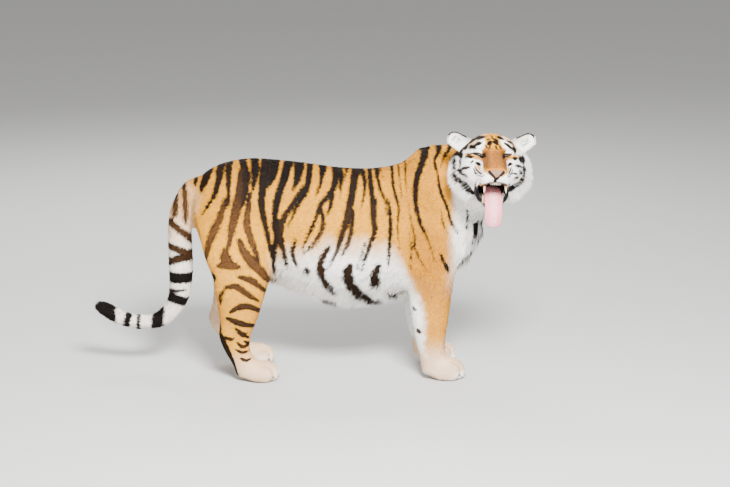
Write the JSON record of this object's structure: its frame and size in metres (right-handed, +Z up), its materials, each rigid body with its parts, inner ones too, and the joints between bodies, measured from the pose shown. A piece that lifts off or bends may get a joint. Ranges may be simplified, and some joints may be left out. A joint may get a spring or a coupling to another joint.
{
  "type": "tiger",
  "caption": "Life-size standing tiger with its head turned to one side, jaws open and tongue hanging out, tail curled up at the end.",
  "frame": {"origin": "on the floor, under the middle of the whole tiger's box", "axes": "+X the way the body faces, +Y the tiger's left, +Z up; the head is turned to -Y"},
  "size_m": [1.9186, 0.6986, 1.1134],
  "materials": {
    "striped_coat": "orange fur with dark stripes, white underneath",
    "pale_coat": "cream to white fur",
    "nose_leather": "moist pink-brown skin",
    "tongue": "moist pink, rough",
    "eye": "amber iris, wet and glossy"
  },
  "bodies": {
    "root": {"trunk": "striped_coat", "neck": "striped_coat", "head": "striped_coat", "ear_left": "striped_coat", "ear_right": "striped_coat", "tail_base": "striped_coat", "tail_middle": "striped_coat", "tail_lower": "striped_coat", "tail_tip": "striped_coat", "front_upper_leg_left": "striped_coat", "front_upper_leg_right": "striped_coat", "front_lower_leg_left": "striped_coat", "front_lower_leg_right": "striped_coat", "hind_upper_leg_left": "striped_coat", "hind_upper_leg_right": "striped_coat", "hind_lower_leg_left": "striped_coat", "hind_lower_leg_right": "striped_coat", "lower_jaw": "pale_coat", "front_foot_left": "pale_coat", "front_foot_right": "pale_coat", "hind_foot_left": "pale_coat", "hind_foot_right": "pale_coat", "nose": "nose_leather", "tongue": "tongue", "eye_left": "eye", "eye_right": "eye"}
  },
  "joints": []
}
